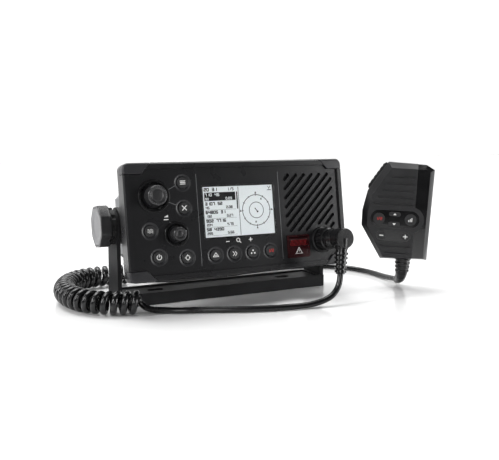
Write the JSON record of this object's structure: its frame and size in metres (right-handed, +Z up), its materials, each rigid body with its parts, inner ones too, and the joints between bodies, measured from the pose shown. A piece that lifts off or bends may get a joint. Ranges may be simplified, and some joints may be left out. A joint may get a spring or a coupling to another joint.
{
  "type": "vhf marine radio",
  "caption": "Fixed-mount marine radio on a tilting bracket with display, knobs, keys, flip-covered alarm key, finned case and a handset on a curly cord.",
  "frame": {"origin": "under the middle of the bracket's base, on the surface it stands on", "axes": "+X to the right of the front panel, +Y from the front panel to the back, +Z up"},
  "size_m": [0.2989, 0.1544, 0.1081],
  "materials": {
    "bracket_black": "satin",
    "washer_rubber": "matt",
    "cord_rubber": "semi-gloss",
    "panel_black": "satin",
    "cap_black": "satin",
    "window_glass": "clear",
    "display_white": "screen",
    "collar_black": "gloss",
    "encoder_metal": "brushed",
    "key_rubber": "matt",
    "board_green": "matt",
    "speaker_grey": "matt",
    "case_grey": "satin",
    "screw_steel": "brushed",
    "plated_brass": "bright",
    "alarm_red": "gloss",
    "plug_black": "gloss",
    "knob_black": "satin",
    "handset_black": "satin",
    "handset_gloss": "gloss",
    "insert_grey": "satin"
  },
  "bodies": {
    "stand": {"bracket": "bracket_black", "lobed_washers": "washer_rubber", "curly_cord": "cord_rubber", "front_lead": "cord_rubber", "rear_lead": "cord_rubber"},
    "chassis": {"front_housing": "panel_black", "corner_caps": "cap_black", "screen_window": "window_glass", "display_module": "display_white", "knob_collars": "collar_black", "encoders": "encoder_metal", "keypad_mat": "key_rubber", "main_board": "board_green", "speaker": "speaker_grey", "rear_housing": "case_grey", "case_gasket": "key_rubber", "case_screws": "screw_steel", "friction_washers": "washer_rubber", "antenna_socket": "plated_brass", "power_inlet": "cap_black", "handset_socket": "collar_black", "alarm_frame": "alarm_red", "plug_body": "plug_black", "plug_relief": "cord_rubber"},
    "left_clamp": {"clamp_knob_left": "knob_black", "clamp_insert_left": "insert_grey", "clamp_stud_left": "screw_steel"},
    "right_clamp": {"clamp_knob_right": "knob_black", "clamp_insert_right": "insert_grey", "clamp_stud_right": "screw_steel"},
    "channel_spindle": {"channel_shaft": "encoder_metal"},
    "channel_cap": {"channel_knob": "knob_black"},
    "volume_spindle": {"volume_shaft": "encoder_metal"},
    "volume_cap": {"volume_knob": "knob_black"},
    "cover": {"alarm_cover": "alarm_red"},
    "alarm_plunger": {"alarm_key": "alarm_red"},
    "nut": {"coupling_nut": "plug_black"},
    "handset": {"handset_front": "handset_black", "handset_back": "handset_black", "handset_band": "handset_gloss", "handset_board": "board_green", "microphone": "speaker_grey", "hang_button": "screw_steel", "handset_relief": "cord_rubber"},
    "talk_lever": {"talk_bar": "handset_black"},
    "menu_plunger": {"menu_key": "key_rubber"},
    "cancel_plunger": {"cancel_key": "key_rubber"},
    "weather_plunger": {"weather_key": "key_rubber"},
    "power_plunger": {"power_key": "key_rubber"},
    "position_plunger": {"position_key": "key_rubber"},
    "signal_plunger": {"signal_key": "key_rubber"},
    "scan_plunger": {"scan_key": "key_rubber"},
    "watch_plunger": {"watch_key": "key_rubber"},
    "calling_plunger": {"calling_key": "key_rubber"},
    "handset_calling_plunger": {"handset_calling_key": "key_rubber"},
    "handset_power_level_plunger": {"handset_power_level_key": "key_rubber"},
    "handset_up_plunger": {"handset_up_key": "key_rubber"},
    "handset_down_plunger": {"handset_down_key": "key_rubber"},
    "handset_minus_plunger": {"handset_minus_key": "key_rubber"},
    "handset_plus_plunger": {"handset_plus_key": "key_rubber"}
  },
  "joints": [
    {"name": "tilt", "type": "hinge", "parent": "stand", "child": "chassis", "pos_m": [0, 0, 0.06], "axis": [1, 0, 0], "range_deg": [-15, 8], "deforming": ["front_lead"]},
    {"name": "clamp_left_turn", "type": "hinge", "parent": "chassis", "child": "left_clamp", "pos_m": [-0.0965, 0, 0.06], "axis": [-1, 0, 0], "continuous": true},
    {"name": "clamp_right_turn", "type": "hinge", "parent": "chassis", "child": "right_clamp", "pos_m": [0.0965, 0, 0.06], "axis": [1, 0, 0], "continuous": true},
    {"name": "channel_turn", "type": "hinge", "parent": "chassis", "child": "channel_spindle", "pos_m": [-0.068, -0.04201, 0.08524], "axis": [0, 0.9871, -0.1599], "continuous": true},
    {"name": "channel_press", "type": "slide", "parent": "channel_spindle", "child": "channel_cap", "axis": [0, 0.9871, -0.1599], "range_m": [0, 0.0006], "stiffness_N_per_m": 600, "springref_m": -0.001},
    {"name": "volume_turn", "type": "hinge", "parent": "chassis", "child": "volume_spindle", "pos_m": [-0.053, -0.04645, 0.0578], "axis": [0, 0.9871, -0.1599], "continuous": true},
    {"name": "volume_press", "type": "slide", "parent": "volume_spindle", "child": "volume_cap", "axis": [0, 0.9871, -0.1599], "range_m": [0, 0.0006], "stiffness_N_per_m": 600, "springref_m": -0.001},
    {"name": "menu_press", "type": "slide", "parent": "chassis", "child": "menu_plunger", "axis": [0, 0.9871, -0.1599], "range_m": [0, 0.0008], "stiffness_N_per_m": 500, "springref_m": -0.001},
    {"name": "cancel_press", "type": "slide", "parent": "chassis", "child": "cancel_plunger", "axis": [0, 0.9871, -0.1599], "range_m": [0, 0.0008], "stiffness_N_per_m": 500, "springref_m": -0.001},
    {"name": "weather_press", "type": "slide", "parent": "chassis", "child": "weather_plunger", "axis": [0, 0.9871, -0.1599], "range_m": [0, 0.0008], "stiffness_N_per_m": 500, "springref_m": -0.001},
    {"name": "power_press", "type": "slide", "parent": "chassis", "child": "power_plunger", "axis": [0, 0.9871, -0.1599], "range_m": [0, 0.0008], "stiffness_N_per_m": 500, "springref_m": -0.001},
    {"name": "position_press", "type": "slide", "parent": "chassis", "child": "position_plunger", "axis": [0, 0.9871, -0.1599], "range_m": [0, 0.0008], "stiffness_N_per_m": 500, "springref_m": -0.001},
    {"name": "signal_press", "type": "slide", "parent": "chassis", "child": "signal_plunger", "axis": [0, 0.9871, -0.1599], "range_m": [0, 0.0008], "stiffness_N_per_m": 500, "springref_m": -0.001},
    {"name": "scan_press", "type": "slide", "parent": "chassis", "child": "scan_plunger", "axis": [0, 0.9871, -0.1599], "range_m": [0, 0.0008], "stiffness_N_per_m": 500, "springref_m": -0.001},
    {"name": "watch_press", "type": "slide", "parent": "chassis", "child": "watch_plunger", "axis": [0, 0.9871, -0.1599], "range_m": [0, 0.0008], "stiffness_N_per_m": 500, "springref_m": -0.001},
    {"name": "calling_press", "type": "slide", "parent": "chassis", "child": "calling_plunger", "axis": [0, 0.9871, -0.1599], "range_m": [0, 0.0008], "stiffness_N_per_m": 500, "springref_m": -0.001},
    {"name": "cover_open", "type": "hinge", "parent": "chassis", "child": "cover", "pos_m": [0.0463, -0.04302, 0.04706], "axis": [-1, 0, 0], "range_deg": [0, 100], "stiffness_Nm_per_rad": 0.002, "springref_deg": -20.05},
    {"name": "alarm_press", "type": "slide", "parent": "chassis", "child": "alarm_plunger", "axis": [0, 0.9871, -0.1599], "range_m": [0, 0.0008], "stiffness_N_per_m": 500, "springref_m": -0.001},
    {"name": "nut_turn", "type": "hinge", "parent": "chassis", "child": "nut", "pos_m": [0.0688, -0.05034, 0.04627], "axis": [0, 0.9871, -0.1599], "continuous": true},
    {"name": "handset_lift", "type": "slide", "parent": "stand", "child": "handset", "axis": [0, 0, 1], "range_m": [0, 0.12], "deforming": ["rear_lead"]},
    {"name": "talk_press", "type": "slide", "parent": "handset", "child": "talk_lever", "axis": [0.6449, -0.5038, -0.5747], "range_m": [0, 0.0012], "stiffness_N_per_m": 800, "springref_m": -0.0015},
    {"name": "handset_calling_press", "type": "slide", "parent": "handset", "child": "handset_calling_plunger", "axis": [0.6157, 0.788, 0], "range_m": [0, 0.0007], "stiffness_N_per_m": 400, "springref_m": -0.001},
    {"name": "handset_power_level_press", "type": "slide", "parent": "handset", "child": "handset_power_level_plunger", "axis": [0.6157, 0.788, 0], "range_m": [0, 0.0007], "stiffness_N_per_m": 400, "springref_m": -0.001},
    {"name": "handset_up_press", "type": "slide", "parent": "handset", "child": "handset_up_plunger", "axis": [0.6157, 0.788, 0], "range_m": [0, 0.0007], "stiffness_N_per_m": 400, "springref_m": -0.001},
    {"name": "handset_down_press", "type": "slide", "parent": "handset", "child": "handset_down_plunger", "axis": [0.6157, 0.788, 0], "range_m": [0, 0.0007], "stiffness_N_per_m": 400, "springref_m": -0.001},
    {"name": "handset_minus_press", "type": "slide", "parent": "handset", "child": "handset_minus_plunger", "axis": [0.6157, 0.788, 0], "range_m": [0, 0.0007], "stiffness_N_per_m": 400, "springref_m": -0.001},
    {"name": "handset_plus_press", "type": "slide", "parent": "handset", "child": "handset_plus_plunger", "axis": [0.6157, 0.788, 0], "range_m": [0, 0.0007], "stiffness_N_per_m": 400, "springref_m": -0.001}
  ]
}
